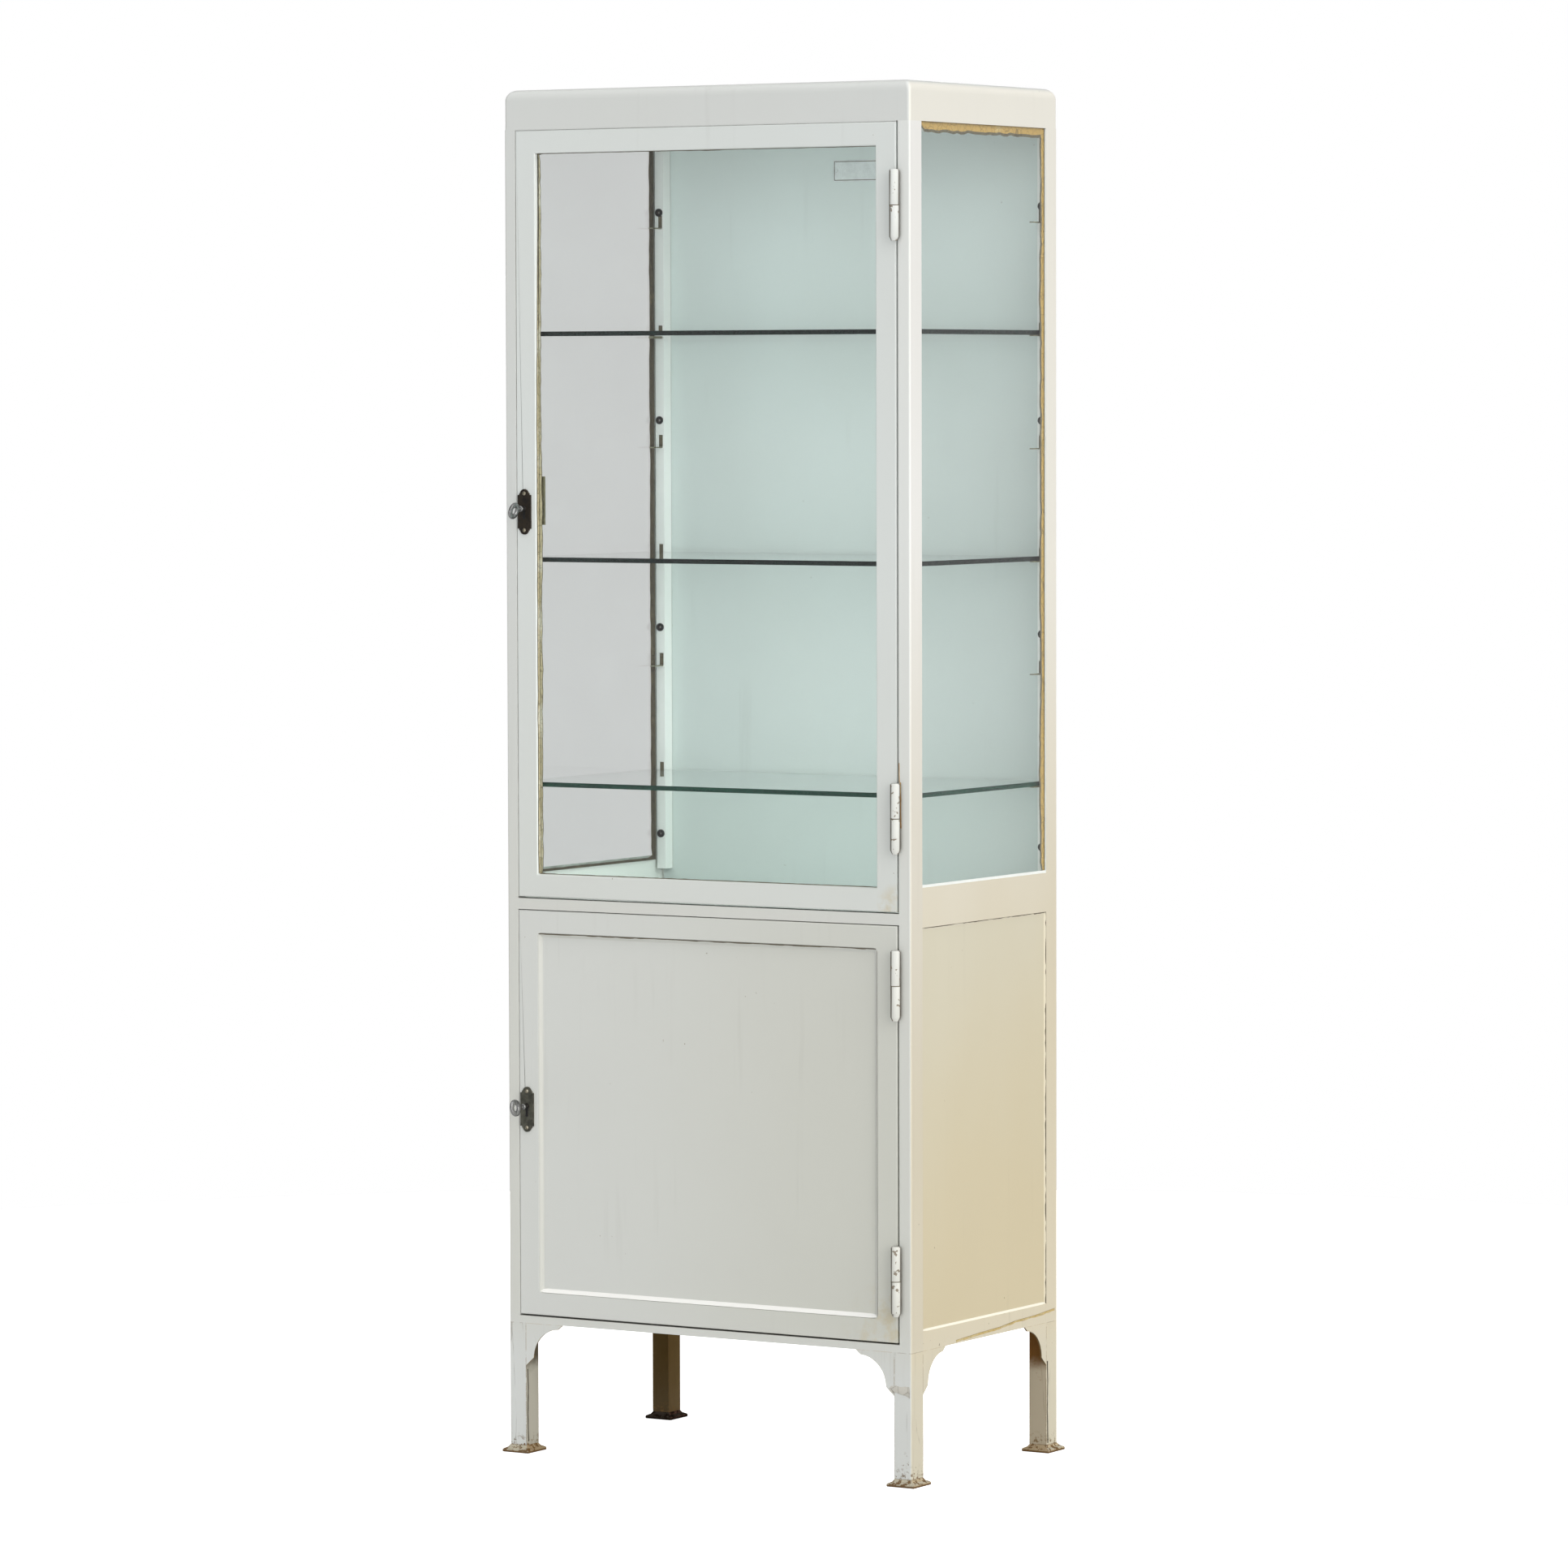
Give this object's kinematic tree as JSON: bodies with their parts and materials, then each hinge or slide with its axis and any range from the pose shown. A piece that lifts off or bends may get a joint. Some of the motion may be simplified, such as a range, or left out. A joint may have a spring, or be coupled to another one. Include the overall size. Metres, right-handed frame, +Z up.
{
  "type": "clinic display cabinet",
  "caption": "Free-standing steel clinic cabinet with a glazed upper door and side windows over glass shelves, a solid lower door, key locks and footed legs.",
  "frame": {"origin": "middle of the footprint on the floor, taken over the whole closed cabinet with its keys in the locks", "axes": "+Z up, -Y out of the front with the doors, +X towards the hinge side"},
  "size_m": [0.615, 0.4137, 1.747],
  "materials": {
    "cream_paint": "satin",
    "inside_paint": "satin",
    "window_glass": "polished",
    "shelf_glass": "polished",
    "putty": "matte",
    "worn_foot": "worn",
    "gunmetal": "satin",
    "bare_steel": "worn",
    "lock_case": "satin",
    "black_iron": "satin",
    "plate_metal": "dull"
  },
  "bodies": {
    "carcass": {"back_panel": "inside_paint", "bottom_floor": "inside_paint", "face_gussets": "cream_paint", "foot_front_left": "worn_foot", "foot_front_right": "worn_foot", "foot_rear_left": "worn_foot", "foot_rear_right": "worn_foot", "front_bottom_rail": "cream_paint", "front_mid_rail": "cream_paint", "front_shelf_brackets": "inside_paint", "hinge_pins": "bare_steel", "leg_front_left": "cream_paint", "leg_front_right": "cream_paint", "leg_rear_left": "cream_paint", "leg_rear_right": "cream_paint", "lower_hinge_frame_halves": "cream_paint", "middle_deck": "inside_paint", "name_plate": "plate_metal", "name_plate_rivets": "plate_metal", "post_front_left": "cream_paint", "post_front_right": "cream_paint", "post_rear_left": "cream_paint", "post_rear_right": "cream_paint", "rear_bottom_rail": "cream_paint", "shelf_rail_left": "inside_paint", "shelf_rail_right": "inside_paint", "shelf_rail_screws": "black_iron", "side_bottom_rail_left": "cream_paint", "side_bottom_rail_right": "cream_paint", "side_glass_left": "window_glass", "side_glass_right": "window_glass", "side_gussets": "cream_paint", "side_mid_rail_left": "cream_paint", "side_mid_rail_right": "cream_paint", "side_panel_left": "cream_paint", "side_panel_right": "cream_paint", "side_putty_left": "putty", "side_putty_right": "putty", "top_cap": "cream_paint", "upper_hinge_frame_halves": "cream_paint"},
    "upper_door": {"upper_door_frame": "cream_paint", "upper_door_glass": "window_glass", "upper_door_putty": "putty", "upper_hinge_door_halves": "cream_paint", "upper_escutcheon": "gunmetal", "upper_escutcheon_studs": "gunmetal", "upper_lock_case": "lock_case"},
    "lower_door": {"lower_door_frame": "cream_paint", "lower_door_panel": "cream_paint", "lower_hinge_door_halves": "cream_paint", "lower_escutcheon": "gunmetal", "lower_escutcheon_studs": "gunmetal", "lower_lock_case": "lock_case"},
    "upper_key": {"upper_key": "bare_steel"},
    "lower_key": {"lower_key": "bare_steel"},
    "upper_bolt": {"upper_bolt": "bare_steel"},
    "lower_bolt": {"lower_bolt": "bare_steel"},
    "top_shelf": {"top_shelf": "shelf_glass"},
    "middle_shelf": {"middle_shelf": "shelf_glass"},
    "bottom_shelf": {"bottom_shelf": "shelf_glass"}
  },
  "joints": [
    {"name": "upper_door_swing", "type": "hinge", "parent": "carcass", "child": "upper_door", "pos_m": [0.2815, -0.17725, 1.20625], "axis": [0, 0, 1], "range_deg": [0, 170]},
    {"name": "lower_door_swing", "type": "hinge", "parent": "carcass", "child": "lower_door", "pos_m": [0.2815, -0.17725, 0.44], "axis": [0, 0, 1], "range_deg": [0, 170]},
    {"name": "upper_key_turn", "type": "hinge", "parent": "upper_door", "child": "upper_key", "pos_m": [-0.271, -0.17065, 1.21425], "axis": [0, -1, 0], "range_deg": [0, 360]},
    {"name": "lower_key_turn", "type": "hinge", "parent": "lower_door", "child": "lower_key", "pos_m": [-0.271, -0.17065, 0.448], "axis": [0, -1, 0], "range_deg": [0, 360]},
    {"name": "upper_bolt_throw", "type": "slide", "parent": "upper_door", "child": "upper_bolt", "axis": [-1, 0, 0], "range_m": [0, 0.008]},
    {"name": "lower_bolt_throw", "type": "slide", "parent": "lower_door", "child": "lower_bolt", "axis": [-1, 0, 0], "range_m": [0, 0.008]},
    {"name": "top_shelf_lift", "type": "slide", "parent": "carcass", "child": "top_shelf", "axis": [0, 0, 1], "range_m": [0, 0.03]},
    {"name": "middle_shelf_lift", "type": "slide", "parent": "carcass", "child": "middle_shelf", "axis": [0, 0, 1], "range_m": [0, 0.03]},
    {"name": "bottom_shelf_lift", "type": "slide", "parent": "carcass", "child": "bottom_shelf", "axis": [0, 0, 1], "range_m": [0, 0.03]}
  ],
  "couplings": [
    {"joint": "upper_bolt_throw", "follows": "upper_key_turn", "m_per_rad": 0.0012732},
    {"joint": "lower_bolt_throw", "follows": "lower_key_turn", "m_per_rad": 0.0012732}
  ]
}
